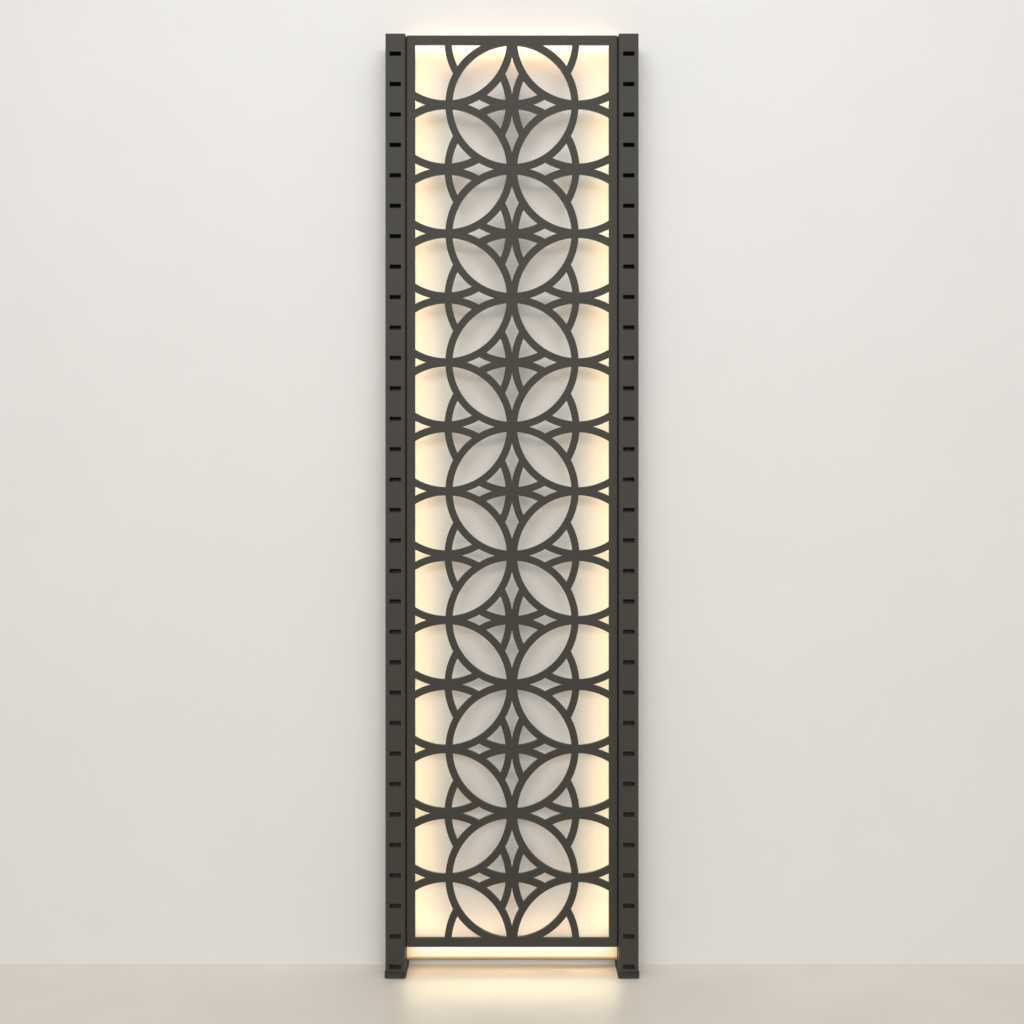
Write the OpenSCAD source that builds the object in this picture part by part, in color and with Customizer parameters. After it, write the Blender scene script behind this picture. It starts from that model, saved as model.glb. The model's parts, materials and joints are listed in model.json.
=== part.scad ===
// Backlit lattice panel that hangs between two slotted posts fixed against a wall.
// X runs along the wall, Y into the wall, Z up. The origin is on the floor, at the middle of the whole unit.

/* [Overall] */
// Height from the floor to the top of the posts and of the panel
total_h = 2400; // [2100:10:2700]
// Width of the hanging panel
panel_w = 536; // [500:1:600]
// Gap between the panel and each post
side_gap = 3.5; // [2:0.5:6]

/* [Posts] */
// Width of a post across its front
post_w = 50; // [46:1:60]
// Depth of a post from its front to its back
post_d = 100; // [95:1:120]
// Wall of the post section
post_wall = 3; // [2:0.5:4]
// Radius of the post's outer corners
post_corner_r = 1.5; // [0.5:0.5:2.5]
// Depth of the slotted front chamber, from the post's face to its web
chamber_d = 27; // [22:1:30]
// Thickness of the web behind the slots
web_t = 2.5; // [2:0.5:3]
// Width of a slot
slot_w = 29; // [20:1:32]
// Height of a slot
slot_h = 11.5; // [8:0.5:16]
// Corner radius of a slot
slot_corner_r = 1.2; // [0.5:0.1:2.5]
// Distance from slot to slot
slot_pitch = 77.3; // [50:0.1:100]
// Height of the lowest slot's middle above the floor
slot_first_z = 30; // [28:0.5:60]
// Thickness of a post cap
cap_t = 2; // [1.5:0.5:4]
// Height of a foot boot
boot_h = 16; // [12:1:20]
// Thickness of rubber under the post
boot_floor = 4; // [3:0.5:6]
// How far a boot stands proud of its post, which is also the gap from post to wall
boot_flare = 2; // [1.5:0.5:4]

/* [Panel] */
// How far the panel's face lies behind the posts' faces
panel_setback = 12; // [8:1:16]
// Thickness of the lattice plate
plate_t = 9; // [6:0.5:12]
// Width of the plain border along the panel's sides
border_w = 21; // [17:0.5:26]
// Width of the plain border along the panel's top and bottom
rail_w = 23; // [18:0.5:28]
// Height of the panel's lower edge above the floor
panel_bottom = 76; // [70:0.5:110]
// Number of lattice rows between the rails' middles
rows = 14; // [12:2:16]
// Distance from the middle column of rings to the next one
column_pitch = 167.1; // [160:0.1:172]
// Middle radius of the whole rings of the middle column
ring_r = 160.9; // [156:0.1:166]
// Middle radius of the whole rings of the side columns
side_ring_r = 163.1; // [158:0.1:168]
// Middle radius of the trimmed arcs between the middle column's rings
arc_r = 163.3; // [158:0.1:168]
// Middle radius of the trimmed arcs between the side columns' rings
side_arc_r = 159.8; // [156:0.1:166]
// Width of the lattice's bars
bar_w = 18.2; // [14:0.1:22]
// Width of the rear frame's tube behind the border
tube_w = 12; // [10:0.5:14]
// Depth of the rear frame's tube
tube_d = 20; // [15:1:22]
// Wall of the rear frame's tube
tube_wall = 1.5; // [1.2:0.1:2.5]

/* [Hanging] */
// Number of hooks on each side
hook_count = 3; // [2:1:4]
// Height of the lowest hook above the floor
hook_low_z = 310; // [250:5:400]
// Distance from the posts' top to the highest hook
hook_top_drop = 230; // [180:5:300]
// Thickness of the hook straps and of the hanger brackets
strap_t = 3; // [2.5:0.5:4]
// How far a hook's lip reaches down behind its bracket
lip_l = 12; // [8:1:14]
// Wall of the nylon saddle on a bracket's upstand
saddle_t = 1; // [0.8:0.1:1.5]
// Spare lift beyond the lip when the panel is taken off
spare_lift = 4; // [2:1:6]

/* [Light] */
// Side of the quarter round light channels on the posts
corner_channel = 16; // [15:0.5:18]
// Wall of the light channels
channel_wall = 1.5; // [1.2:0.1:1.6]
// Height of the light channel behind the top rail
top_channel_h = 10; // [9:0.5:11]
// Depth of the light channel behind the top rail
top_channel_d = 14; // [12:0.5:16]
// Height of the light tray under the panel
tray_h = 38; // [32:1:44]
// Depth of the light tray
tray_d = 45; // [40:1:50]
// How far the tray's face lies behind the posts' faces
tray_setback = 29; // [24:1:32]
// Thickness of the tray's opal cover
opal_t = 2.5; // [2:0.5:3]
// Thickness of the tray's sheet
sheet_t = 2; // [1.5:0.5:2.5]
// Radius of the hole through the cable gland
gland_bore_r = 3.5; // [3:0.1:4]

/* [Wall fixing] */
// Number of wall clips in each post
clip_count = 3; // [2:1:4]
// Height of the lowest wall clip's middle
clip_low_z = 180; // [120:5:240]
// Distance from the posts' top to the highest wall clip's middle
clip_top_drop = 130; // [90:5:180]
// Height of a wall clip
clip_h = 80; // [70:1:100]
// Depth of a wall clip
clip_d = 35; // [30:1:40]
// Thickness of a wall clip
clip_t = 3; // [2.5:0.5:4]
// Distance between a wall clip's two wall holes
clip_hole_pitch = 50; // [40:1:56]
// Radius of a wall hole
clip_hole_r = 3.25; // [2.5:0.25:4]

/* [Hidden] */
$fn = 72;

// Faces and planes that the pieces share
front_y = -post_d / 2;
wall_y = post_d / 2 + boot_flare;
inner_x = panel_w / 2 + side_gap;
post_x = inner_x + post_w / 2;
post_bottom = boot_floor;
post_top = total_h - cap_t;
plate_front = front_y + panel_setback;
plate_back = plate_front + plate_t;
frame_back = plate_back + tube_d;
panel_h = total_h - panel_bottom;
open_w = panel_w - 2 * border_w;

// Screws: one small size for the frame, hooks and light, one larger size for what carries load
small_r = 2;
small_head_r = 3.8;
small_head_h = 1.8;
load_r = 2.5;
load_head_r = 4.6;
load_head_h = 2.1;
pan_head_over = 0.7;
pan_head_h = 1;
fit = 0.1;
thread_l = 6;
// How far a cutting shape runs past the face that it opens
cut = 1;
port_r = 2.1;
port_wall = 1.6;
port_inset = 3;
// Inner radius of the bends in sheet and strap
fold_r = 1;

// Evenly spaced heights from one end to the other
function spread(low, high, count) = [for (i = [0 : count - 1]) low + (high - low) * i / (count - 1)];

hook_z = spread(hook_low_z, total_h - hook_top_drop, hook_count);
clip_z = spread(clip_low_z, total_h - clip_top_drop, clip_count);

module both_sides() {
    children();
    mirror([1, 0, 0]) children();
}

// A rectangle about the origin with true round corners
module rounded(w, d, r) {
    square([w - 2 * r, d], center = true);
    square([w, d - 2 * r], center = true);
    for (sx = [-1, 1], sy = [-1, 1])
        translate([sx * (w / 2 - r), sy * (d / 2 - r)])
            circle(r);
}

// An angle of sheet with a round bend, its outer corner at the origin and its legs along both axes
module folded(leg_x, leg_y, t, inner_r) {
    outer_r = inner_r + t;
    translate([outer_r, 0])
        square([leg_x - outer_r, t]);
    translate([0, outer_r])
        square([t, leg_y - outer_r]);
    intersection() {
        square(outer_r);
        translate([outer_r, outer_r])
            difference() {
                circle(outer_r);
                circle(inner_r);
            }
    }
}

// A countersunk screw with its head's face at z = 0 and its shank down -Z
module countersunk(r, head_r, head_h, l) {
    translate([0, 0, -head_h])
        cylinder(h = head_h, r1 = r, r2 = head_r);
    translate([0, 0, -l])
        cylinder(h = l - head_h, r = r);
}

// The hole for that screw, wider by the fit and open at the head's side
module countersunk_hole(r, head_r, head_h, l) {
    countersunk(r + fit, head_r + fit, head_h, l + fit);
    cylinder(h = cut, r = head_r + fit);
}

// A pan head screw with its head's underside at z = 0
module pan_screw(r, l) {
    cylinder(h = pan_head_h, r = r + pan_head_over);
    translate([0, 0, -l])
        cylinder(h = l, r = r);
}

module small_screw(l) countersunk(small_r, small_head_r, small_head_h, l);
module small_hole(l) countersunk_hole(small_r, small_head_r, small_head_h, l);
module load_screw(l) countersunk(load_r, load_head_r, load_head_h, l);
module load_hole(l) countersunk_hole(load_r, load_head_r, load_head_h, l);

// Turns a screw so that it enters the right-hand post's inner face, its head towards the panel
module into_post(y, z, stand) {
    translate([inner_x - stand, y, z])
        rotate([0, -90, 0])
            children();
}

// ---------------------------------------------------------------- posts

slot_count = floor((total_h - slot_first_z - slot_h - boot_h) / slot_pitch) + 1;
chamber_w = post_w - 2 * post_wall;
web_back_y = chamber_d + web_t;
port_x = chamber_w / 2 - port_inset;
port_y = front_y + web_back_y + port_inset;
post_screw_l = 14;

module post_section() {
    difference() {
        rounded(post_w, post_d, post_corner_r);
        translate([-chamber_w / 2, front_y + post_wall])
            square([chamber_w, chamber_d - post_wall]);
        translate([-chamber_w / 2, front_y + web_back_y])
            square([chamber_w, post_d]);
    }
    for (s = [-1, 1])
        translate([s * port_x, port_y])
            difference() {
                circle(port_r + port_wall);
                circle(port_r);
            }
}

module port_holes() {
    for (s = [-1, 1])
        translate([s * port_x, port_y])
            circle(port_r);
}

module post() {
    difference() {
        translate([post_x, 0, post_bottom])
            linear_extrude(post_top - post_bottom)
                difference() {
                    post_section();
                    port_holes();
                }
        for (i = [0 : slot_count - 1])
            translate([post_x, front_y + post_wall + cut, slot_first_z + i * slot_pitch])
                rotate([90, 0, 0])
                    linear_extrude(post_wall + 2 * cut)
                        rounded(slot_w, slot_h, slot_corner_r);
        post_side_holes();
    }
}

// Threaded and clearance holes through the wall that faces the panel
module post_side_holes() {
    for (z = hook_z, dz = hanger_screw_dz)
        into_post(hanger_screw_y, z + dz, 0)
            post_wall_hole(load_r);
    for (z = clip_z)
        into_post(clip_screw_y, z, 0)
            load_hole(post_wall + cut);
    for (z = side_screw_z)
        into_post(side_screw_y, z, 0)
            post_wall_hole(small_r);
    for (z = tray_screw_z)
        into_post(tray_mid_y, z, 0)
            post_wall_hole(small_r);
    into_post(top_bracket_screw_y, top_bracket_screw_z, 0)
        post_wall_hole(small_r);
}

module post_wall_hole(r)
    translate([0, 0, -post_wall - cut])
        cylinder(h = post_wall + 2 * cut, r = r + fit);

module right_post() color("#4f4e49") post();
module left_post() color("#4f4e49") mirror([1, 0, 0]) post();

// A flat cap with two short tongues that locate it in the post's chambers
tongue_t = 1.5;
tongue_h = 8;
tongue_gap = 0.3;

module tongue(y0, y1) {
    w = chamber_w - 2 * tongue_gap;
    d = y1 - y0 - 2 * tongue_gap;
    translate([0, (y0 + y1) / 2, post_top - tongue_h])
        linear_extrude(tongue_h)
            difference() {
                square([w, d], center = true);
                square([w - 2 * tongue_t, d - 2 * tongue_t], center = true);
            }
}

module post_cap() {
    translate([post_x, 0, 0]) {
        difference() {
            translate([0, 0, post_top])
                linear_extrude(cap_t)
                    rounded(post_w, post_d, post_corner_r);
            for (s = [-1, 1])
                translate([s * port_x, port_y, total_h])
                    small_hole(cap_t + cut);
        }
        tongue(front_y + post_wall, front_y + chamber_d);
        tongue(port_y + port_r + port_wall, post_d / 2);
    }
}

module right_post_cap() color("#4b4a45") post_cap();
module left_post_cap() color("#4b4a45") mirror([1, 0, 0]) post_cap();

module post_cap_screws()
    color("#8d8f91")
        both_sides()
            for (s = [-1, 1])
                translate([post_x + s * port_x, port_y, total_h])
                    small_screw(post_screw_l);

// A moulded rubber boot: a cup round the post's foot, drawn in at its lower edge
boot_edge = 2.5;
boot_inset = 1.2;
// The boot's screws end a little above the floor
boot_screw_z = 0.5;

module foot_boot() {
    translate([post_x, 0, 0])
        difference() {
            hull() {
                translate([0, 0, boot_edge])
                    linear_extrude(boot_h - boot_edge)
                        rounded(post_w + 2 * boot_flare, post_d + 2 * boot_flare,
                                post_corner_r + boot_flare, $fn = 32);
                linear_extrude(boot_edge)
                    rounded(post_w + 2 * (boot_flare - boot_inset), post_d + 2 * (boot_flare - boot_inset),
                            post_corner_r + boot_flare - boot_inset, $fn = 32);
            }
            translate([0, 0, boot_floor])
                linear_extrude(boot_h)
                    rounded(post_w, post_d, post_corner_r, $fn = 32);
            for (s = [-1, 1])
                translate([s * port_x, port_y, boot_screw_z])
                    rotate([180, 0, 0])
                        small_hole(boot_floor + cut);
        }
}

module right_foot_boot() color("#35342f") foot_boot();
module left_foot_boot() color("#35342f") mirror([1, 0, 0]) foot_boot();

module foot_boot_screws()
    color("#8d8f91")
        both_sides()
            for (s = [-1, 1])
                translate([post_x + s * port_x, port_y, boot_screw_z])
                    rotate([180, 0, 0])
                        small_screw(post_screw_l);

// A rubber strip along a post's inner face that keeps light out of the gap beside the lattice plate. It
// stays just clear of the plate, and its nose is rounded
seal_clear = 0.5;
seal_inset = 1.5;
seal_nose_r = 1.2;

module side_seal() {
    w = side_gap - seal_clear;
    d = plate_t - 2 * seal_inset;
    translate([inner_x, (plate_front + plate_back) / 2, panel_bottom])
        linear_extrude(post_top - panel_bottom)
            intersection() {
                rounded(2 * w, d, seal_nose_r);
                translate([-w, -d / 2])
                    square([w, d]);
            }
}

module right_side_seal() color("#232321") side_seal();
module left_side_seal() color("#232321") mirror([1, 0, 0]) side_seal();

// ---------------------------------------------------------------- wall clips

clip_gap = 0.25;
clip_w = chamber_w - 2 * clip_gap;
clip_screw_inset = 12;
clip_screw_y = wall_y - clip_t - clip_screw_inset;
clip_screw_spare = 2;
clip_screw_l = post_wall + clip_gap + clip_t + clip_screw_spare;

// A steel channel on the wall, over which the open back of the post is pushed
module wall_clip() {
    difference() {
        translate([0, wall_y, -clip_h / 2])
            linear_extrude(clip_h)
                for (half = [0, 1])
                    mirror([half, 0])
                        translate([-clip_w / 2, 0])
                            mirror([0, 1])
                                folded(clip_w / 2, clip_d, clip_t, fold_r);
        for (s = [-1, 1])
            translate([0, wall_y + cut, s * clip_hole_pitch / 2])
                rotate([90, 0, 0])
                    cylinder(h = clip_t + 2 * cut, r = clip_hole_r);
        translate([-clip_w / 2 - cut, clip_screw_y, 0])
            rotate([0, 90, 0])
                cylinder(h = clip_t + 2 * cut, r = load_r + fit);
    }
}

module wall_clips()
    for (z = clip_z)
        translate([post_x, 0, z])
            wall_clip();

module right_wall_clips() color("#a9acae") wall_clips();
module left_wall_clips() color("#a9acae") mirror([1, 0, 0]) wall_clips();

module wall_clip_screws()
    color("#8d8f91")
        both_sides()
            for (z = clip_z)
                into_post(clip_screw_y, z, 0)
                    load_screw(clip_screw_l);

// ---------------------------------------------------------------- hanger brackets and hooks

throat_gap = 0.5;
hook_gap = 1;
flange_x = inner_x - strap_t;
tube_x0 = panel_w / 2 - tube_w;
leg_back = frame_back + strap_t;
saddle_front = leg_back + throat_gap;
blade_front = saddle_front + saddle_t;
blade_back = blade_front + strap_t;
lip_front = blade_back + saddle_t + throat_gap;
blade_over = 2;
blade_x0 = tube_x0 - blade_over;
blade_up = 16;
blade_down = 10;
flange_down = 34;
flange_d = 14.5;
hanger_screw_y = (blade_back + blade_front + flange_d) / 2;
hanger_screw_dz = [-24, 6];
saddle_h = 10;
throat_top = blade_up + saddle_t;

// A bent angle: its flange lies on the post, its blade stands across behind the panel's stile
module hanger_bracket() {
    difference() {
        translate([inner_x, blade_front, -flange_down])
            mirror([1, 0, 0])
                linear_extrude(flange_down + blade_up)
                    folded(inner_x - blade_x0, flange_d, strap_t, fold_r);
        translate([blade_x0 - cut, blade_front - cut, -flange_down - cut])
            cube([flange_x - fold_r - blade_x0 + cut, strap_t + 2 * cut, flange_down - blade_down + cut]);
        for (dz = hanger_screw_dz)
            into_post(hanger_screw_y, dz, strap_t)
                load_hole(strap_t + cut);
        translate([blade_x0 - cut, blade_front - cut, -blade_down - cut])
            bevel_cut();
    }
}

// Takes the lower free corner off the blade
module bevel_cut()
    rotate([-90, 0, 0])
        mirror([0, 1, 0])
            linear_extrude(strap_t + 2 * cut)
                polygon([[0, 0], [blade_down, 0], [0, blade_down]]);

module hanger_brackets()
    for (z = hook_z)
        translate([0, 0, z])
            hanger_bracket();

module right_hanger_brackets() color("#b4b7b9") hanger_brackets();
module left_hanger_brackets() color("#b4b7b9") mirror([1, 0, 0]) hanger_brackets();

module hanger_screws()
    color("#8d8f91")
        both_sides()
            for (z = hook_z, dz = hanger_screw_dz)
                into_post(hanger_screw_y, z + dz, strap_t)
                    load_screw(strap_t + post_wall + thread_l);

hook_x0 = tube_x0;
hook_w = flange_x - hook_gap - hook_x0;
hook_leg_down = 30;
hook_screw_dz = [-22, -6];

// A nylon saddle clipped over the blade, on which the hook rests without rattling
module hanger_saddles()
    color("#e6e4dc")
        both_sides()
            for (z = hook_z)
                translate([hook_x0, saddle_front, z + blade_up - saddle_h])
                    difference() {
                        cube([hook_w, strap_t + 2 * saddle_t, saddle_h + saddle_t]);
                        translate([-cut, saddle_t, -cut])
                            cube([hook_w + 2 * cut, strap_t, saddle_h + cut]);
                    }

// A strap hook on the back of the panel's stile, with its lip behind the hanger's blade
module hook() {
    difference() {
        translate([hook_x0, 0, 0])
            rotate([90, 0, 90])
                linear_extrude(hook_w)
                    hook_side();
        for (dz = hook_screw_dz)
            translate([tube_x0 + tube_w / 2, leg_back, dz])
                rotate([-90, 0, 0])
                    small_hole(strap_t + cut);
    }
}

// The strap seen from the side: leg, round bends, lip
module hook_side() {
    bend_r = strap_t;
    top = throat_top + strap_t;
    back = lip_front + strap_t;
    difference() {
        union() {
            translate([frame_back, -hook_leg_down])
                square([strap_t, hook_leg_down + top - bend_r]);
            translate([frame_back + bend_r, throat_top])
                square([back - frame_back - 2 * bend_r, strap_t]);
            translate([lip_front, throat_top - lip_l])
                square([strap_t, lip_l + strap_t - bend_r]);
            translate([frame_back + bend_r, top - bend_r])
                circle(bend_r);
            translate([back - bend_r, top - bend_r])
                circle(bend_r);
        }
        translate([leg_back, throat_top - lip_l - cut])
            square([lip_front - leg_back, lip_l + cut]);
    }
}

module hooks()
    for (z = hook_z)
        translate([0, 0, z])
            hook();

module right_hooks() color("#b4b7b9") hooks();
module left_hooks() color("#b4b7b9") mirror([1, 0, 0]) hooks();

module hook_screws()
    color("#8d8f91")
        both_sides()
            for (z = hook_z, dz = hook_screw_dz)
                translate([tube_x0 + tube_w / 2, leg_back, z + dz])
                    rotate([-90, 0, 0])
                        small_screw(strap_t + tube_wall + thread_l);

// ---------------------------------------------------------------- panel

row_pitch = (panel_h - rail_w) / rows;
row_0 = panel_bottom + rail_w / 2;

function row_z(j) = row_0 + j * row_pitch;
// Rings stand in a chequer: whole rings where column and row add up odd, trimmed rings between them
function whole(i, j) = (i + j) % 2 != 0;
function whole_r(i) = i == 0 ? ring_r : side_ring_r;

module disc_at(i, j, r)
    translate([i * column_pitch, row_z(j)])
        circle(r, $fn = 144);

module ring_at(i, j, r)
    difference() {
        disc_at(i, j, r + bar_w / 2);
        disc_at(i, j, r - bar_w / 2);
    }

// The petals are where a middle ring overlaps its four neighbours; the short arcs stay out of them
module petals()
    for (j = [1 : 2 : rows - 1], si = [-1, 1], sj = [-1, 1])
        intersection() {
            disc_at(0, j, ring_r);
            disc_at(si, j + sj, side_ring_r);
        }

module whole_rings()
    for (i = [-1 : 1], j = [0 : rows])
        if (whole(i, j))
            ring_at(i, j, whole_r(i));

module short_arcs()
    difference() {
        union() {
            for (j = [0 : 2 : rows])
                ring_at(0, j, arc_r);
            // The side rings next to a rail have no arc along that rail
            for (i = [-1, 1])
                intersection() {
                    for (j = [1 : 2 : rows - 1])
                        ring_at(i, j, side_arc_r);
                    translate([-panel_w / 2, row_z(0.5)])
                        square([panel_w, row_pitch * (rows - 1)]);
                }
        }
        petals();
    }

module plate_outline() {
    intersection() {
        translate([-panel_w / 2, panel_bottom])
            square([panel_w, panel_h]);
        union() {
            whole_rings();
            short_arcs();
        }
    }
    difference() {
        translate([-panel_w / 2, panel_bottom])
            square([panel_w, panel_h]);
        translate([-open_w / 2, panel_bottom + rail_w])
            square([open_w, panel_h - 2 * rail_w]);
    }
}

module lattice_plate()
    color("#4d4b46")
        difference() {
            translate([0, plate_back, 0])
                rotate([90, 0, 0])
                    linear_extrude(plate_t)
                        plate_outline();
            frame_screw_places()
                small_hole(tube_d + thread_l);
        }

// Screws that pass through the rear frame into the plate, on each stile clear of the hooks
stile_screw_end = 40;
hook_clear = 60;
stile_screws_z = concat(
    spread(panel_bottom + stile_screw_end, hook_z[0] - hook_clear, 2),
    [for (k = [1 : hook_count - 1]) each spread(hook_z[k - 1] + hook_clear, hook_z[k] - hook_clear, 3)],
    spread(hook_z[hook_count - 1] + hook_clear, total_h - stile_screw_end, 2)
);
rail_screw_end = 106;
rail_screws_x = spread(rail_screw_end - tube_x0, tube_x0 - rail_screw_end, 3);
stile_mid_x = panel_w / 2 - tube_w / 2;

module frame_screw_places() {
    for (s = [-1, 1], z = stile_screws_z)
        translate([s * stile_mid_x, frame_back, z])
            rotate([-90, 0, 0])
                children();
    for (x = rail_screws_x, z = [panel_bottom + tube_w / 2, total_h - tube_w / 2])
        translate([x, frame_back, z])
            rotate([-90, 0, 0])
                children();
}

module frame_screws()
    color("#8d8f91")
        frame_screw_places()
            small_screw(tube_d + thread_l);

plug_t = 1.5;
plug_l = 10;
plug_gap = 0.2;
plug_wall = 1.2;

// Square tube along Z between its plugs, at the panel's right edge
module rear_stile()
    difference() {
        translate([tube_x0, plate_back, panel_bottom + plug_t])
            cube([tube_w, tube_d, panel_h - 2 * plug_t]);
        translate([tube_x0 + tube_wall, plate_back + tube_wall, panel_bottom - cut])
            cube([tube_w - 2 * tube_wall, tube_d - 2 * tube_wall, panel_h + 2 * cut]);
        frame_screw_places()
            small_hole(tube_d + thread_l);
        for (z = hook_z, dz = hook_screw_dz)
            translate([stile_mid_x, frame_back + strap_t, z + dz])
                rotate([-90, 0, 0])
                    translate([0, 0, -strap_t - tube_wall - cut])
                        cylinder(h = strap_t + tube_wall + cut, r = small_r + fit);
    }

module right_rear_stile() color("#45433e") rear_stile();
module left_rear_stile() color("#45433e") mirror([1, 0, 0]) rear_stile();

// A moulded plug for a stile's lower end, the corner of its flat head at the origin
module stile_plug() {
    w = tube_w - 2 * tube_wall - 2 * plug_gap;
    d = tube_d - 2 * tube_wall - 2 * plug_gap;
    cube([tube_w, tube_d, plug_t]);
    translate([tube_w / 2, tube_d / 2, plug_t])
        linear_extrude(plug_l)
            difference() {
                square([w, d], center = true);
                square([w - 2 * plug_wall, d - 2 * plug_wall], center = true);
            }
}

module stile_plugs()
    color("#3d3c38")
        both_sides() {
            translate([tube_x0, plate_back, panel_bottom])
                stile_plug();
            translate([tube_x0, plate_back, total_h])
                mirror([0, 0, 1])
                    stile_plug();
        }

module rear_rail(z)
    difference() {
        translate([-tube_x0, plate_back, z])
            cube([2 * tube_x0, tube_d, tube_w]);
        translate([-tube_x0 - cut, plate_back + tube_wall, z + tube_wall])
            cube([2 * tube_x0 + 2 * cut, tube_d - 2 * tube_wall, tube_w - 2 * tube_wall]);
        frame_screw_places()
            small_hole(tube_d + thread_l);
    }

module top_rear_rail() color("#45433e") rear_rail(total_h - tube_w);
module bottom_rear_rail() color("#45433e") rear_rail(panel_bottom);

// ---------------------------------------------------------------- light behind the top rail

strip_w = 8;
strip_t = 1.2;
strip_end = 5;
top_channel_gap = 1;
top_channel_y0 = frame_back + top_channel_gap;
top_channel_z0 = total_h - top_channel_h;
// The end pieces of the top channel are as thick as the brackets that carry it
bracket_t = 2;
bracket_l = 18;
top_bracket_drop = 24;
top_bracket_screw_y = top_channel_y0 + top_channel_d / 2;
top_bracket_screw_z = top_channel_z0 - top_bracket_drop / 2 - bracket_t / 2;
top_channel_x = inner_x - bracket_t;
cover_t = 1.5;

module along_x(x1) {
    translate([-x1, 0, 0])
        rotate([90, 0, 90])
            linear_extrude(2 * x1)
                children();
}

module top_light_channel()
    color("#c3c6c8")
        difference() {
            along_x(top_channel_x)
                translate([top_channel_y0, top_channel_z0])
                    difference() {
                        square([top_channel_d, top_channel_h]);
                        translate([channel_wall, channel_wall])
                            square([top_channel_d, top_channel_h - 2 * channel_wall]);
                    }
            upper_lead_hole(channel_wall);
        }

// The way of the upper lead through what lies just above and below the channel's underside
module upper_lead_hole(up)
    translate([lead_x, top_lead_y, top_channel_z0 - bracket_t - cut])
        cylinder(h = bracket_t + up + 2 * cut, r = lead_r + fit);

module top_channel_ends()
    color("#d6d7d6")
        both_sides()
            translate([top_channel_x, top_channel_y0, top_channel_z0])
                cube([bracket_t, top_channel_d, top_channel_h]);

module top_light_strip()
    color("#f2efe4")
        along_x(top_channel_x - strip_end)
            translate([top_channel_y0 + channel_wall, top_channel_z0 + channel_wall])
                square([strip_t, top_channel_h - 2 * channel_wall]);

module top_light_cover()
    color("#fff6dd")
        along_x(top_channel_x)
            translate([top_channel_y0 + top_channel_d - cover_t, top_channel_z0 + channel_wall])
                square([cover_t, top_channel_h - 2 * channel_wall]);

// A bent angle under each end of the channel, its upright leg on the post
module top_light_brackets()
    color("#b4b7b9")
        both_sides()
            difference() {
                translate([inner_x, top_channel_y0 + top_channel_d, top_channel_z0])
                    rotate([90, 0, 0])
                        linear_extrude(top_channel_d)
                            rotate(180)
                                folded(bracket_l, top_bracket_drop, bracket_t, fold_r);
                into_post(top_bracket_screw_y, top_bracket_screw_z, bracket_t)
                    small_hole(bracket_t + cut);
                upper_lead_hole(0);
            }

module top_light_screws()
    color("#8d8f91")
        both_sides()
            into_post(top_bracket_screw_y, top_bracket_screw_z, bracket_t)
                small_screw(bracket_t + post_wall + thread_l);

// ---------------------------------------------------------------- light along the posts

corner_gap = 2;
corner_y0 = blade_front + flange_d + corner_gap;
tray_gap = 0.5;
tray_top = panel_bottom - tray_gap;
corner_rise = 16;
corner_z0 = tray_top + corner_rise;
corner_drop = 10;
corner_z1 = top_channel_z0 - top_bracket_drop - corner_drop;
// The strip's seat takes the strip's width across the corner
seat = channel_wall + strip_w / sqrt(2) + 1.3;
corner_cover_t = 1.2;
corner_end_t = 1.5;
side_screw_n = 4;
side_screw_end = 60;
side_screw_y = corner_y0 + (seat + corner_channel - corner_cover_t) / 2;
side_screw_z = spread(corner_z0 + side_screw_end, corner_z1 - side_screw_end, side_screw_n);
light_screw_l = channel_wall + post_wall;

// Places a section with its corner on the right-hand post's inner face: first axis towards the panel's
// middle, second axis towards the wall
module corner_section(z0, z1)
    translate([inner_x, corner_y0, z0])
        mirror([1, 0, 0])
            linear_extrude(z1 - z0)
                children();

module channel_outline()
    polygon([[0, 0], [corner_channel, 0], [corner_channel, channel_wall], [seat, channel_wall],
             [channel_wall, seat], [channel_wall, corner_channel], [0, corner_channel]]);

module light_channel()
    difference() {
        corner_section(corner_z0 + corner_end_t, corner_z1 - corner_end_t)
            channel_outline();
        for (z = side_screw_z)
            into_post(side_screw_y, z, channel_wall)
                translate([0, 0, -channel_wall - cut])
                    cylinder(h = channel_wall + 2 * cut, r = small_r + fit);
    }

module light_strip()
    corner_section(corner_z0 + strip_end, corner_z1 - strip_end)
        translate([(seat + channel_wall) / 2, (seat + channel_wall) / 2])
            rotate(-45)
                translate([-strip_w / 2, 0])
                    square([strip_w, strip_t]);

module light_cover()
    corner_section(corner_z0 + corner_end_t, corner_z1 - corner_end_t)
        intersection() {
            difference() {
                circle(corner_channel);
                circle(corner_channel - corner_cover_t);
            }
            translate([channel_wall, channel_wall])
                square(corner_channel);
        }

module right_light_channel() color("#c3c6c8") light_channel();
module left_light_channel() color("#c3c6c8") mirror([1, 0, 0]) light_channel();
module right_light_strip() color("#f2efe4") light_strip();
module left_light_strip() color("#f2efe4") mirror([1, 0, 0]) light_strip();
module right_light_cover() color("#fff6dd") light_cover();
module left_light_cover() color("#fff6dd") mirror([1, 0, 0]) light_cover();

// Moulded ends, each pierced for a lead that it grips
module side_channel_ends()
    color("#d6d7d6")
        both_sides()
            for (z = [corner_z0, corner_z1 - corner_end_t])
                difference() {
                    corner_section(z, z + corner_end_t) {
                        channel_outline();
                        intersection() {
                            square(corner_channel);
                            circle(corner_channel);
                        }
                    }
                    translate([lead_x, lead_y, z - cut])
                        cylinder(h = corner_end_t + 2 * cut, r = lead_r);
                }

module side_light_screws()
    color("#8d8f91")
        both_sides()
            for (z = side_screw_z)
                into_post(side_screw_y, z, channel_wall)
                    pan_screw(small_r, light_screw_l);

// ---------------------------------------------------------------- light tray under the panel

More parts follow.
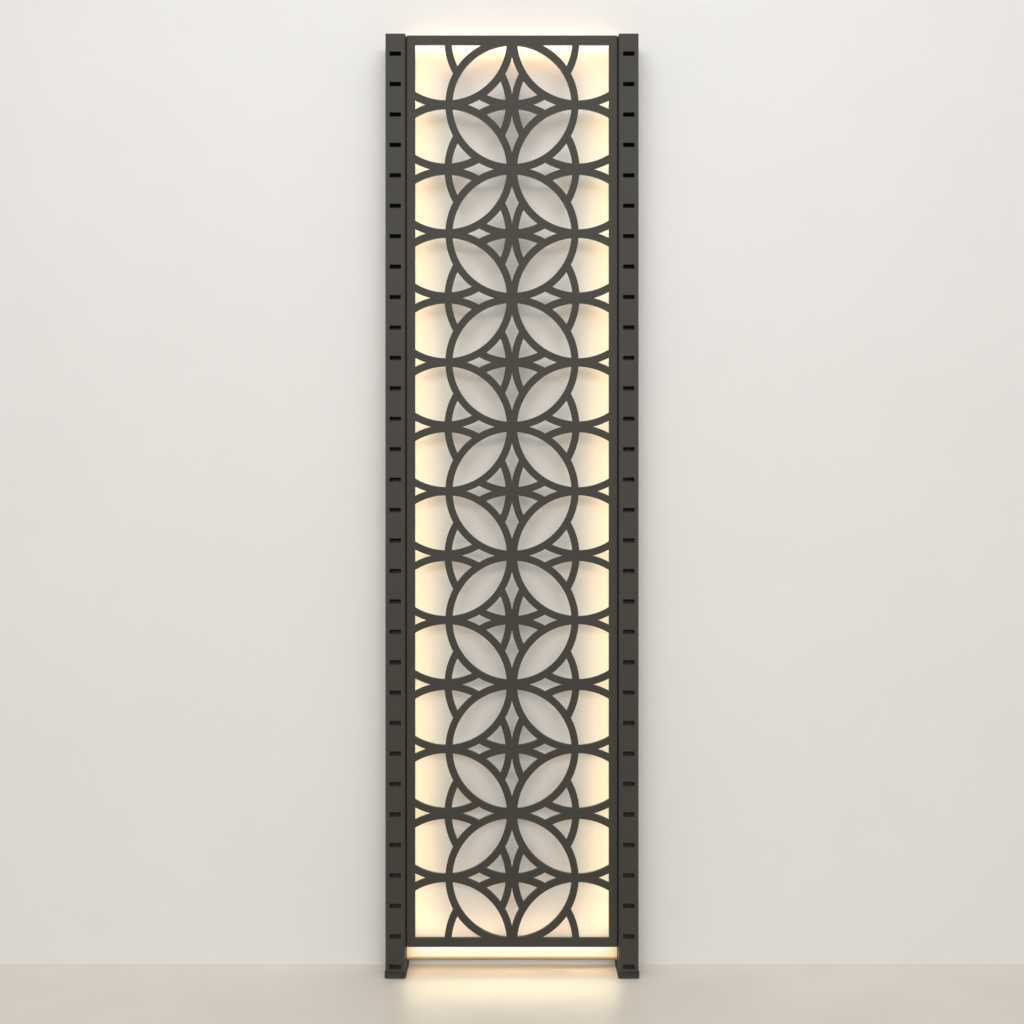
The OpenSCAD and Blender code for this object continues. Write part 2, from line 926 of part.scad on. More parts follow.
tray_y0 = front_y + tray_setback;
tray_y1 = tray_y0 + tray_d;
tray_z0 = tray_top - tray_h;
tray_mid_y = (tray_y0 + tray_y1) / 2;
tray_x = inner_x - sheet_t;
tray_screw_inset = 11;
tray_screw_z = [tray_z0 + tray_screw_inset, tray_top - tray_screw_inset];
gland_to_end = 80;
gland_x = tray_x - gland_to_end;
gland_rise = 14;
gland_z = tray_z0 + sheet_t + gland_rise;
gland_r = 6;
nut_t = 4;
nut_r = 9.2;
opal_fold_r = 1.5;

// A folded sheet: floor and rear wall
module light_tray()
    color("#4b4a45")
        difference() {
            along_x(tray_x)
                translate([tray_y1, tray_z0])
                    mirror([1, 0])
                        folded(tray_d - opal_t, tray_h - opal_t, sheet_t, fold_r);
            translate([gland_x, tray_y1 - sheet_t - cut, gland_z])
                rotate([-90, 0, 0])
                    cylinder(h = sheet_t + 2 * cut, r = gland_r + fit);
            fixing_places(tray_z0 - cut)
                cylinder(h = sheet_t + 2 * cut, r = fixing_r + fit);
        }

// A bent opal angle: the glowing face under the panel and the top that lights the wall
module tray_cover()
    color("#fff3d2")
        difference() {
            along_x(tray_x)
                translate([tray_y0, tray_top])
                    mirror([0, 1])
                        folded(tray_d, tray_h, opal_t, opal_fold_r);
            both_sides()
                translate([lead_x, lead_y, tray_top - opal_t - cut])
                    cylinder(h = opal_t + 2 * cut, r = lead_r + fit);
        }

module tray_end_plates()
    color("#4b4a45")
        both_sides()
            difference() {
                translate([tray_x, tray_y0, tray_z0])
                    cube([sheet_t, tray_d, tray_h]);
                for (z = tray_screw_z)
                    into_post(tray_mid_y, z, sheet_t)
                        small_hole(sheet_t + cut);
            }

module tray_end_screws()
    color("#8d8f91")
        both_sides()
            for (z = tray_screw_z)
                into_post(tray_mid_y, z, sheet_t)
                    small_screw(sheet_t + post_wall + thread_l);

tray_strip_end = 4;
tray_strip_gap = 2;
tray_strip_y = tray_y0 + opal_t + tray_strip_gap + strip_w / 2;

module tray_light_strip()
    color("#f2efe4")
        translate([-tray_x + tray_strip_end, tray_strip_y - strip_w / 2, tray_z0 + sheet_t])
            cube([2 * (tray_x - tray_strip_end), strip_w, strip_t]);

driver_l = 170;
driver_w = 26;
driver_h = 20;
driver_corner_r = 2.5;
driver_to_end = 70;
driver_gap = fold_r + 0.5;
driver_ear = 10;
driver_ear_t = 2;
driver_x0 = driver_to_end - tray_x;
driver_y = tray_y1 - sheet_t - driver_gap - driver_w / 2;
fixing_r = 1.5;

// A slim power supply: its case, and an ear with a hole at each end
module led_driver()
    color("#e9e9e6")
        difference() {
            translate([driver_x0 + driver_l / 2, driver_y, tray_z0 + sheet_t]) {
                linear_extrude(driver_h)
                    rounded(driver_l, driver_w, driver_corner_r);
                linear_extrude(driver_ear_t)
                    rounded(driver_l + 2 * driver_ear, driver_w, driver_corner_r);
            }
            for (x = driver_screws_x)
                translate([x, driver_y, tray_z0 + sheet_t - cut])
                    cylinder(h = driver_ear_t + 2 * cut, r = fixing_r + fit);
        }

terminal_pitch = 10;
terminal_d = 16;
terminal_h = 14;
terminal_l = 3.2 * terminal_pitch;
terminal_well_r = 2.6;
terminal_well_h = 6;
terminal_to_gland = 54;
terminal_gap = 4;
terminal_x = gland_x - terminal_to_gland;
terminal_y = tray_y1 - sheet_t - terminal_gap - terminal_d / 2;

// Three screw terminals in one block, each with a round well for its screw, and two fixing holes between
module terminal_block()
    color("#f4f3ee")
        difference() {
            translate([terminal_x - terminal_l / 2, terminal_y - terminal_d / 2, tray_z0 + sheet_t])
                cube([terminal_l, terminal_d, terminal_h]);
            for (i = [-1 : 1])
                translate([terminal_x + i * terminal_pitch, terminal_y,
                           tray_z0 + sheet_t + terminal_h - terminal_well_h])
                    cylinder(h = terminal_well_h + cut, r = terminal_well_r);
            for (x = terminal_screws_x)
                translate([x, terminal_y, tray_z0 + sheet_t - cut])
                    cylinder(h = terminal_h + 2 * cut, r = fixing_r + fit);
        }

// Screws that hold the power supply and the terminal block to the tray's floor
driver_screws_x = [driver_x0 - driver_ear / 2, driver_x0 + driver_l + driver_ear / 2];
terminal_screws_x = [terminal_x - terminal_pitch / 2, terminal_x + terminal_pitch / 2];

module fixing_places(z) {
    for (x = driver_screws_x)
        translate([x, driver_y, z])
            children();
    for (x = terminal_screws_x)
        translate([x, terminal_y, z])
            children();
}

module tray_fixing_screws()
    color("#8d8f91") {
        for (x = driver_screws_x)
            translate([x, driver_y, tray_z0 + sheet_t + driver_ear_t])
                pan_screw(fixing_r, driver_ear_t + sheet_t);
        for (x = terminal_screws_x)
            translate([x, terminal_y, tray_z0 + sheet_t + terminal_h])
                pan_screw(fixing_r, terminal_h + sheet_t);
    }

gland_hex_h = 4;
gland_dome_r = 8;
gland_dome_h = 6;
gland_nose_r = 5.4;
gland_nose_h = 2.5;
gland_stem_l = sheet_t + nut_t + 2;

// A cable gland with its nose towards the wall
module cable_gland()
    color("#2c2c2c")
        translate([gland_x, tray_y1, gland_z])
            rotate([-90, 0, 0])
                difference() {
                    union() {
                        translate([0, 0, -gland_stem_l])
                            cylinder(h = gland_stem_l, r = gland_r);
                        cylinder(h = gland_hex_h, r = nut_r, $fn = 6);
                        translate([0, 0, gland_hex_h])
                            cylinder(h = gland_dome_h, r = gland_dome_r);
                        translate([0, 0, gland_hex_h + gland_dome_h])
                            cylinder(h = gland_nose_h, r1 = gland_dome_r, r2 = gland_nose_r);
                    }
                    translate([0, 0, -gland_stem_l - cut])
                        cylinder(h = gland_stem_l + gland_hex_h + gland_dome_h + gland_nose_h + 2 * cut,
                                 r = gland_bore_r);
                }

module gland_nut()
    color("#2c2c2c")
        translate([gland_x, tray_y1 - sheet_t, gland_z])
            rotate([90, 0, 0])
                difference() {
                    cylinder(h = nut_t, r = nut_r, $fn = 6);
                    translate([0, 0, -cut])
                        cylinder(h = nut_t + 2 * cut, r = gland_r + fit);
                }

// ---------------------------------------------------------------- leads

lead_r = 1.6;
lead_bend = 5;
// A side channel's lead enters it between its strip and its cover
lead_x = inner_x - 9.5;
lead_y = corner_y0 + 6.5;
lead_in = 8;
top_lead_y = top_channel_y0 + top_channel_d / 2;
driver_lead_r = 2.5;
driver_lead_z = tray_z0 + sheet_t + 7;
output_lead_z = tray_z0 + sheet_t + 12;
output_lead_run = 25;
jumper_z = tray_z0 + sheet_t + 18;
tray_strip_top = tray_z0 + sheet_t + strip_t;

// Puts a shape at a point, its first two axes turned to the ways x and y
module placed(p, x, y) {
    z = cross(x, y);
    multmatrix([[x.x, y.x, z.x, p.x], [x.y, y.y, z.y, p.y], [x.z, y.z, z.z, p.z], [0, 0, 0, 1]])
        children();
}

// A lead along straight runs that meet at right angles, with a round bend at each corner
module lead(points, r) {
    last = len(points) - 1;
    run = [for (i = [0 : last - 1]) norm(points[i + 1] - points[i])];
    way = [for (i = [0 : last - 1]) (points[i + 1] - points[i]) / run[i]];
    for (i = [0 : last - 1]) {
        from = i == 0 ? 0 : lead_bend;
        to = run[i] - (i == last - 1 ? 0 : lead_bend);
        across = [way[i].y, way[i].z, way[i].x];
        placed(points[i] + from * way[i], across, cross(way[i], across))
            cylinder(h = to - from, r = r);
    }
    for (i = [1 : 1 : last - 1])
        placed(points[i] + lead_bend * (way[i] - way[i - 1]), -way[i], way[i - 1])
            rotate_extrude(angle = 90)
                translate([lead_bend, 0])
                    circle(r);
}

// From the terminal block to the power supply
module driver_lead()
    color("#e2dfd6")
        lead([[driver_x0 + driver_l, terminal_y, driver_lead_z],
              [terminal_x - terminal_l / 2, terminal_y, driver_lead_z]], driver_lead_r);

// From the power supply to the tray's strip
module output_lead()
    color("#d8d5cc")
        lead([[driver_x0, driver_y, output_lead_z],
              [driver_x0 - output_lead_run, driver_y, output_lead_z],
              [driver_x0 - output_lead_run, tray_strip_y, output_lead_z],
              [driver_x0 - output_lead_run, tray_strip_y, tray_strip_top]], lead_r);

// From the ends of the tray's strip up into the side channels
module lead_jumpers()
    color("#d8d5cc")
        both_sides()
            lead([[lead_x, tray_strip_y, tray_strip_top],
                  [lead_x, tray_strip_y, jumper_z],
                  [lead_x, lead_y, jumper_z],
                  [lead_x, lead_y, corner_z0 + corner_end_t + lead_in]], lead_r);

// From the right-hand side channel into the channel behind the top rail
module upper_lead()
    color("#d8d5cc")
        lead([[lead_x, lead_y, corner_z1 - corner_end_t - lead_in],
              [lead_x, lead_y, (corner_z1 + top_channel_z0) / 2],
              [lead_x, top_lead_y, (corner_z1 + top_channel_z0) / 2],
              [lead_x, top_lead_y, top_channel_z0 + top_channel_h / 2]], lead_r);

left_post();
right_post();
left_post_cap();
right_post_cap();
post_cap_screws();
left_foot_boot();
right_foot_boot();
foot_boot_screws();
left_side_seal();
right_side_seal();
left_wall_clips();
right_wall_clips();
wall_clip_screws();
left_hanger_brackets();
right_hanger_brackets();
hanger_screws();
hanger_saddles();
top_light_channel();
top_light_strip();
top_light_cover();
top_channel_ends();
top_light_brackets();
top_light_screws();
left_light_channel();
left_light_strip();
left_light_cover();
right_light_channel();
right_light_strip();
right_light_cover();
side_channel_ends();
side_light_screws();
light_tray();
tray_end_plates();
tray_end_screws();
tray_cover();
tray_light_strip();
led_driver();
terminal_block();
tray_fixing_screws();
cable_gland();
gland_nut();
driver_lead();
output_lead();
lead_jumpers();
upper_lead();
lattice_plate();
left_rear_stile();
right_rear_stile();
stile_plugs();
top_rear_rail();
bottom_rear_rail();
frame_screws();
left_hooks();
right_hooks();
hook_screws();
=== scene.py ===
import json
import math

import bmesh
import bpy
from mathutils import Matrix, Vector

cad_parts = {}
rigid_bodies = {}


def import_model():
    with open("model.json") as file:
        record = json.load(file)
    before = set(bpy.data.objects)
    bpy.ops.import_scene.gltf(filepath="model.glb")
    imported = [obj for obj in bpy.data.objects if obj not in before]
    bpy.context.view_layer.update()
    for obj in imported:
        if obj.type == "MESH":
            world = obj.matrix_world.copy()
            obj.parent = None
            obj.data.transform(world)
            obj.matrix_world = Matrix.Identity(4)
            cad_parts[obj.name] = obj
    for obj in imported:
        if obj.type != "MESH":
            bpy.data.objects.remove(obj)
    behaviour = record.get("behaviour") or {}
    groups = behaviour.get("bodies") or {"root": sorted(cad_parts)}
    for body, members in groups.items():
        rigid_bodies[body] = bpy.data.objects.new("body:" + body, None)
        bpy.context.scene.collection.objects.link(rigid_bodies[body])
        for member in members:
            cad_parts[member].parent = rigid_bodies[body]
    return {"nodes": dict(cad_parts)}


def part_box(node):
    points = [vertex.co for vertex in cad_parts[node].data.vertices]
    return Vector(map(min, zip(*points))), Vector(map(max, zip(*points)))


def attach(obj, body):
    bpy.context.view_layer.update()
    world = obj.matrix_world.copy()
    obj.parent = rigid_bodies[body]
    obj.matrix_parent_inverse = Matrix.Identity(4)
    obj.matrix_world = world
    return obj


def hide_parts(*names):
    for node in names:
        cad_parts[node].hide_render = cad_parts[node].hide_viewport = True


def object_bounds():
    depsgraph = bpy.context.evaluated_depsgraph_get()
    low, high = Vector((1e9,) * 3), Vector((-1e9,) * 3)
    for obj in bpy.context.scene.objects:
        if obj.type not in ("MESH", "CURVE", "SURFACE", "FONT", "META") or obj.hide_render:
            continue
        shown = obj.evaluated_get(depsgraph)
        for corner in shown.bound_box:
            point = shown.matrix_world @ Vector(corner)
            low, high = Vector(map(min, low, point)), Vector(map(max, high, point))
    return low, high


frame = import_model()
cad_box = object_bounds()
nodes = frame["nodes"]
bpy.ops.object.select_all(action="DESELECT")


# ---------------------------------------------------------------- slotted posts
# Two extruded aluminium posts stand on the floor against the wall, slotted down their fronts and
# open at the back. They are powder coated in a fine-textured warm anthracite, which is painted
# paler along every edge: partly rubbed wear, partly a painted highlight where light catches it.

def add(material, kind, settings=None, **inputs):
    """Adds one shader node. Each input is given a plain value or another node's output."""
    new = material.node_tree.nodes.new("ShaderNode" + kind)
    for name, value in (settings or {}).items():
        setattr(new, name, value)
    for name, value in inputs.items():
        socket = new.inputs[name.replace("_", " ")]
        if isinstance(value, bpy.types.NodeSocket):
            material.node_tree.links.new(value, socket)
        else:
            socket.default_value = value
    return new


def finish(name, **constants):
    """A new material; what is the same all over it is set on the shader's own sockets."""
    material = bpy.data.materials.new(name)
    material.use_nodes = True
    surface = material.node_tree.nodes["Principled BSDF"]
    for socket, value in constants.items():
        surface.inputs[socket.replace("_", " ")].default_value = value
    return material, surface


def feed(material, surface, socket, output):
    """Leads a node's output into one of the shader's sockets."""
    material.node_tree.links.new(output, surface.inputs[socket])


def ramp(material, factor, *stops):
    """Colours or greys spread along a factor, each stop a position and a colour or a grey."""
    new = add(material, "ValToRGB", Fac=factor)
    band = new.color_ramp
    while len(band.elements) < len(stops):
        band.elements.new(0.5)
    for element, (position, shade) in zip(band.elements, stops):
        element.position = position
        element.color = (*shade, 1.0) if isinstance(shade, tuple) else (shade, shade, shade, 1.0)
    return new.outputs["Color"]


def own_coordinates(material, stretch=(1.0, 1.0, 1.0)):
    """The piece's own coordinates in metres, stretched where a pattern runs along one axis."""
    place = add(material, "TexCoord").outputs["Object"]
    return add(material, "Mapping", Vector=place, Scale=stretch).outputs["Vector"]


def noise(material, scale, detail=3.0, stretch=(1.0, 1.0, 1.0)):
    """Cloudy noise, with scale in waves a metre."""
    place = own_coordinates(material, stretch)
    return add(material, "TexNoise", Vector=place, Scale=scale, Detail=detail).outputs["Fac"]


def relief(material, surface, height, depth):
    """Raises the surface by a height pattern of that depth in metres."""
    bump = add(material, "Bump", Height=height, Distance=depth, Strength=1.0)
    feed(material, surface, "Normal", bump.outputs["Normal"])


def edge_mask(material, width):
    """1 along the piece's edges and 0 on its flats: where a rounded normal leans from the true one."""
    rounded = add(material, "Bevel", {"samples": 4}, Radius=width).outputs["Normal"]
    lean = add(material, "VectorMath", {"operation": "DOT_PRODUCT"})
    material.node_tree.links.new(rounded, lean.inputs[0])
    material.node_tree.links.new(add(material, "NewGeometry").outputs["Normal"], lean.inputs[1])
    leaning, straight = 0.86, 0.985
    return ramp(material, lean.outputs["Value"], (leaning, 1.0), (straight, 0.0))


def mixed(material, factor, first, second, kind="MIX"):
    """Two colours mixed by a factor."""
    new = add(material, "MixRGB", {"blend_type": kind}, Fac=factor, Color1=first, Color2=second)
    return new.outputs["Color"]


def scaled(colour, share):
    """A colour made darker or paler."""
    return tuple(part * share for part in colour)


coat_grain = 1300.0
coat_grain_depth = 0.00006
coat_edge = 0.0014
coat_tone_spread = 0.07
coat_roughness = 0.58
coat_roughness_spread = 0.05
edge_highlight_and_wear_paler = 1.7


def powder_coat(name, colour):
    """Matt powder coat: a fine grain, faint clouds of tone and gloss, and edges painted paler, as rubbed
    wear and painted highlight.
    """
    material, surface = finish(name, Specular_IOR_Level=0.3)
    clouds = noise(material, scale=6.0, detail=5.0)
    grain = noise(material, scale=coat_grain, detail=2.0)
    tone = ramp(material, clouds, (0.35, scaled(colour, 1 - coat_tone_spread)),
                (0.65, scaled(colour, 1 + coat_tone_spread)))
    speckled = ramp(material, grain, (0.4, 0.86), (0.6, 1.0))
    tone = mixed(material, 1.0, tone, speckled, "MULTIPLY")
    # Edges painted paler: a painted highlight along every edge, broken up by patches of rubbed wear.
    rubbed = ramp(material, noise(material, scale=40.0, detail=4.0), (0.35, 0.15), (0.7, 0.9))
    edges = mixed(material, 1.0, edge_mask(material, coat_edge), rubbed, "MULTIPLY")
    pale = (*scaled(colour, edge_highlight_and_wear_paler), 1.0)
    feed(material, surface, "Base Color", mixed(material, edges, tone, pale))
    gloss = ramp(material, clouds, (0.3, coat_roughness - coat_roughness_spread),
                 (0.7, coat_roughness + coat_roughness_spread))
    feed(material, surface, "Roughness", gloss)
    relief(material, surface, grain, coat_grain_depth)
    return material


def dress(material, *names):
    """Gives CAD nodes a finish."""
    for name in names:
        mesh = nodes[name].data
        mesh.materials.clear()
        mesh.materials.append(material)


anthracite = (0.0513, 0.0479, 0.0405)
post_finish = powder_coat("post_powder_coat", anthracite)
dress(post_finish, "left_post", "right_post")

# ---------------------------------------------------------------- post caps
# A flat aluminium cap closes each post. It has the posts' coat and is held by two countersunk
# socket screws in the posts' screw ports.

dress(powder_coat("cap_powder_coat", scaled(anthracite, 0.95)), "left_post_cap", "right_post_cap")

# ---------------------------------------------------------------- zinc-plated screws
# Small bright steel screws with a hexagon socket hold everything together. Each group of like
# screws is turned, socketed and plated once, and then copied to every screw's place.

zinc = (0.52, 0.53, 0.53)
screw_roughness = 0.34
socket_share = 0.42
socket_depth = 0.0011
screw_facets = 28
tip_ease = 0.0005
dome_share = 0.45
touching = 1e-5
same_point = 1e-6


def plated(name, colour, roughness):
    """Zinc plating: a bright metal with a faint blue and straw bloom and fine wiping marks."""
    material, surface = finish(name, Metallic=1.0)
    bloom = noise(material, scale=160.0, detail=3.0)
    cool = (colour[0] * 0.94, colour[1] * 0.98, colour[2] * 1.05)
    straw = (colour[0] * 1.08, colour[1] * 1.02, colour[2] * 0.88)
    feed(material, surface, "Base Color", ramp(material, bloom, (0.35, cool), (0.7, straw)))
    wiped = noise(material, scale=900.0, detail=2.0, stretch=(1.0, 1.0, 0.12))
    feed(material, surface, "Roughness",
         ramp(material, wiped, (0.3, roughness - 0.08), (0.7, roughness + 0.1)))
    relief(material, surface, wiped, depth=0.00002)
    return material


def separate_solids(node):
    """The points of each separate solid in a CAD node, in the order of its mesh."""
    mesh = bmesh.new()
    mesh.from_mesh(nodes[node].data)
    bmesh.ops.remove_doubles(mesh, verts=mesh.verts, dist=same_point)
    left = set(mesh.verts)
    solids = []
    for first in mesh.verts:
        if first not in left:
            continue
        left.remove(first)
        reached = [first]
        solid = [first]
        while reached:
            point = reached.pop()
            for edge in point.link_edges:
                other = edge.other_vert(point)
                if other in left:
                    left.remove(other)
                    reached.append(other)
                    solid.append(other)
        solids.append([point.co.copy() for point in solid])
    mesh.free()
    return solids


def screw_measures(points):
    """Where a screw's head is, the way it faces, its length, both radii and the head's height."""
    low = Vector(min(p[k] for p in points) for k in range(3))
    high = Vector(max(p[k] for p in points) for k in range(3))
    size = high - low
    along = min(range(3), key=lambda k: abs(size[(k + 1) % 3] - size[(k + 2) % 3]))
    middle = (low + high) / 2
    around = [k for k in range(3) if k != along]
    out = [math.hypot(p[around[0]] - middle[around[0]], p[around[1]] - middle[around[1]]) for p in points]
    head_r = max(out)
    shank_r = min(r for r in out if r > touching)
    rim = [p[along] for p, r in zip(points, out) if r > head_r - touching]
    facing = 1.0 if sum(rim) / len(rim) > middle[along] else -1.0
    way = Vector([facing if k == along else 0.0 for k in range(3)])
    face = Vector(middle)
    face[along] = high[along] if facing > 0 else low[along]
    neck = [facing * p[along] for p, r in zip(points, out) if r < shank_r + touching]
    head_h = facing * face[along] - max(neck)
    return face, way, size[along], shank_r, head_r, head_h


def face_up(mesh, height, way=1.0):
    """Selects the faces at a height that look up, or down with way -1, and nothing else."""
    for face in mesh.faces:
        level = abs(face.calc_center_median().z - height) < same_point
        face.select_set(level and face.normal.z * way > 0.9)


def socket_screw(name, length, shank_r, head_r, head_h, raised):
    """One screw, its head's face at the origin and its shank down -Z. The head is domed if raised."""
    bpy.ops.mesh.primitive_cylinder_add(vertices=screw_facets, radius=shank_r, depth=length - head_h,
                                        location=(0, 0, -(length + head_h) / 2))
    screw = bpy.context.object
    screw.name = name
    bpy.ops.object.transform_apply(location=True)
    bpy.ops.object.mode_set(mode="EDIT")
    bpy.ops.mesh.select_all(action="DESELECT")
    mesh = bmesh.from_edit_mesh(screw.data)
    mesh.faces.ensure_lookup_table()
    face_up(mesh, -length, -1.0)
    bmesh.update_edit_mesh(screw.data)
    bpy.ops.mesh.bevel(offset=tip_ease, segments=1, affect="EDGES")
    bpy.ops.mesh.select_all(action="DESELECT")
    mesh = bmesh.from_edit_mesh(screw.data)
    face_up(mesh, -head_h)
    bmesh.update_edit_mesh(screw.data)
    spread = head_r / shank_r
    if raised:
        bpy.ops.mesh.inset(thickness=-(head_r - shank_r), use_outset=False)
        bpy.ops.transform.resize(value=(spread, spread, 1), center_override=(0, 0, 0))
        bpy.ops.mesh.extrude_region_move(TRANSFORM_OT_translate={"value": (0, 0, head_h)})
        bpy.ops.mesh.bevel(offset=head_h * dome_share, segments=2, affect="EDGES")
    else:
        bpy.ops.mesh.extrude_region_move(TRANSFORM_OT_translate={"value": (0, 0, head_h)})
        bpy.ops.transform.resize(value=(spread, spread, 1), center_override=(0, 0, 0))
    bpy.ops.mesh.select_all(action="SELECT")
    bpy.ops.mesh.normals_make_consistent(inside=False)
    bpy.ops.object.mode_set(mode="OBJECT")
    bpy.ops.mesh.primitive_cylinder_add(vertices=6, radius=head_r * socket_share, depth=2 * socket_depth,
                                        location=(0, 0, 0))
    cut_from(screw, bpy.context.object)
    return screw


def combine(piece, tool, operation):
    """Joins, cuts or crosses a piece with a tool, and throws the tool away."""
    change = piece.modifiers.new(operation, "BOOLEAN")
    change.operation = operation
    change.object = tool
    change.solver = "MANIFOLD"
    bpy.ops.object.select_all(action="DESELECT")
    bpy.context.view_layer.objects.active = piece
    bpy.ops.object.modifier_apply(modifier=change.name)
    bpy.data.objects.remove(tool)


def cut_from(piece, tool):
    """Cuts a tool's shape out of a piece."""
    combine(piece, tool, "DIFFERENCE")


def join_all(pieces, name):
    """Joins pieces into one object of that name."""
    bpy.ops.object.select_all(action="DESELECT")
    for piece in pieces:
        piece.select_set(True)
    bpy.context.view_layer.objects.active = pieces[0]
    if len(pieces) > 1:
        bpy.ops.object.join()
    pieces[0].name = name
    bpy.ops.object.select_all(action="DESELECT")
    return pieces[0]


def smooth(piece, degrees=30.0):
    """Smooth shading that stays sharp across real edges."""
    bpy.ops.object.select_all(action="DESELECT")
    piece.select_set(True)
    bpy.context.view_layer.objects.active = piece
    bpy.ops.object.shade_smooth_by_angle(angle=math.radians(degrees))
    bpy.ops.object.select_all(action="DESELECT")


def fit_screws(node, body, material, raised=False):
    """Puts a modelled screw in the place of every screw of a CAD node, one pattern for each length."""
    patterns = {}
    screws = []
    for points in separate_solids(node):
        face, way, *measures = screw_measures(points)
        length = round(measures[0], 4)
        if length not in patterns:
            patterns[length] = socket_screw(node + "_pattern", *measures, raised)
        screw = patterns[length].copy()
        screw.data = patterns[length].data.copy()
        bpy.context.collection.objects.link(screw)
        turn = Vector((0, 0, 1)).rotation_difference(way).to_matrix().to_4x4()
        screw.data.transform(Matrix.Translation(face) @ turn)
        screws.append(screw)
    for pattern in patterns.values():
        bpy.data.objects.remove(pattern)
    group = join_all(screws, node + "_socketed")
    group.data.materials.append(material)
    smooth(group)
    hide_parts(node)
    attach(group, body)


screw_zinc = plated("screw_zinc", zinc, screw_roughness)
for group in ("post_cap_screws", "foot_boot_screws", "wall_clip_screws", "hanger_screws",
              "top_light_screws", "tray_end_screws"):
    fit_screws(group, "stand", screw_zinc)
for group in ("side_light_screws", "tray_fixing_screws"):
    fit_screws(group, "stand", screw_zinc, raised=True)
for group in ("frame_screws", "hook_screws"):
    fit_screws(group, "panel", screw_zinc)

# ---------------------------------------------------------------- foot boots
# A moulded rubber boot protects the floor under each post. It has a matt skin, greyer where dust
# has settled near its lower edge.

rubber = (0.036, 0.035, 0.031)
dust_height = 0.012
boot_rubber, surface = finish("boot_rubber", Specular_IOR_Level=0.35)
skin = noise(boot_rubber, scale=900.0, detail=3.0)
height = add(boot_rubber, "SeparateXYZ", Vector=own_coordinates(boot_rubber)).outputs["Z"]
dusty = ramp(boot_rubber, height, (0.0, scaled(rubber, 1.5)), (dust_height, rubber))
speck = ramp(boot_rubber, noise(boot_rubber, scale=60.0, detail=5.0), (0.35, 0.85), (0.7, 1.1))
feed(boot_rubber, surface, "Base Color", mixed(boot_rubber, 1.0, dusty, speck, "MULTIPLY"))
feed(boot_rubber, surface, "Roughness", ramp(boot_rubber, skin, (0.3, 0.72), (0.7, 0.86)))
relief(boot_rubber, surface, skin, depth=0.00005)
dress(boot_rubber, "left_foot_boot", "right_foot_boot")

# ---------------------------------------------------------------- side seals
# An extruded strip of black rubber on each post's inner face shuts the gap beside the panel. The
# die has left fine lines along it.

seal_rubber, surface = finish("seal_rubber", Specular_IOR_Level=0.3)
die_lines = noise(seal_rubber, scale=1800.0, detail=2.0, stretch=(1.0, 1.0, 0.004))
bloom = noise(seal_rubber, scale=35.0, detail=4.0, stretch=(1.0, 1.0, 0.2))
feed(seal_rubber, surface, "Base Color",
     ramp(seal_rubber, bloom, (0.35, (0.017, 0.017, 0.016)), (0.75, (0.027, 0.027, 0.026))))
feed(seal_rubber, surface, "Roughness", ramp(seal_rubber, bloom, (0.3, 0.6), (0.7, 0.75)))
relief(seal_rubber, surface, die_lines, depth=0.00004)
dress(seal_rubber, "left_side_seal", "right_side_seal")

# ---------------------------------------------------------------- wall clips
# Galvanised steel channels are screwed to the wall first, and the open backs of the posts are
# pushed over them. The zinc shows its frosted flower pattern.

flowers_a_metre = 140.0
galvanised, surface = finish("galvanised_steel", Metallic=1.0)
flower = add(galvanised, "TexVoronoi", Vector=own_coordinates(galvanised), Scale=flowers_a_metre)
flower_tone = add(galvanised, "RGBToBW", Color=flower.outputs["Color"]).outputs["Val"]
feed(galvanised, surface, "Base Color",
     ramp(galvanised, flower_tone, (0.2, (0.40, 0.42, 0.43)), (0.8, (0.56, 0.58, 0.59))))
feed(galvanised, surface, "Roughness", ramp(galvanised, flower_tone, (0.2, 0.34), (0.8, 0.52)))
relief(galvanised, surface, noise(galvanised, scale=500.0), depth=0.00003)
dress(galvanised, "left_wall_clips", "right_wall_clips")

# ---------------------------------------------------------------- hanger brackets and hooks
# Bent and plated steel: angle brackets on the posts' inner faces carry the strap hooks on the
# back of the panel. A moulded nylon saddle on each bracket keeps the hook from rattling.

bracket_zinc = plated("bracket_zinc", (0.44, 0.45, 0.45), 0.42)
dress(bracket_zinc, "left_hanger_brackets", "right_hanger_brackets", "top_light_brackets",
      "left_hooks", "right_hooks")

nylon, surface = finish("saddle_nylon", Subsurface_Weight=0.12, Subsurface_Scale=0.002,
                        Specular_IOR_Level=0.4)
milky = noise(nylon, scale=240.0, detail=3.0)
feed(nylon, surface, "Base Color",
     ramp(nylon, milky, (0.3, (0.72, 0.70, 0.63)), (0.7, (0.79, 0.77, 0.71))))
feed(nylon, surface, "Roughness", ramp(nylon, milky, (0.3, 0.38), (0.7, 0.5)))
relief(nylon, surface, noise(nylon, scale=1800.0), depth=0.00002)
dress(nylon, "hanger_saddles")

# ---------------------------------------------------------------- light channels
# Satin anodised aluminium sections, screwed behind the top rail and along the posts. Fine
# drawing lines run along them, as the press leaves them.


def anodised(name, stretch):
    """Satin anodised aluminium with drawing lines along the axis that the stretch keeps short."""
    material, surface = finish(name, Metallic=1.0)
    lines = noise(material, scale=1500.0, detail=2.0, stretch=stretch)
    feed(material, surface, "Base Color",
         ramp(material, lines, (0.3, (0.58, 0.59, 0.59)), (0.7, (0.68, 0.69, 0.69))))
    feed(material, surface, "Roughness", ramp(material, lines, (0.3, 0.30), (0.7, 0.42)))
    relief(material, surface, lines, depth=0.00002)
    return material


dress(anodised("anodised_upright", (1.0, 1.0, 0.004)), "left_light_channel", "right_light_channel")
dress(anodised("anodised_level", (0.004, 1.0, 1.0)), "top_light_channel")

# ---------------------------------------------------------------- light strips
# Flexible circuit strips with a row of yellow-capped lamps at 10 mm, stuck in the channels and on
# the tray's floor.

lamp_pitch = 0.010
lamp_share = 0.38
lamp_rim = 0.02
between_lamps = 0.12
strip_white = (0.80, 0.79, 0.74, 1.0)
lamp_yellow = (0.95, 0.72, 0.22, 1.0)
lamp_glow = (1.0, 0.80, 0.48, 1.0)


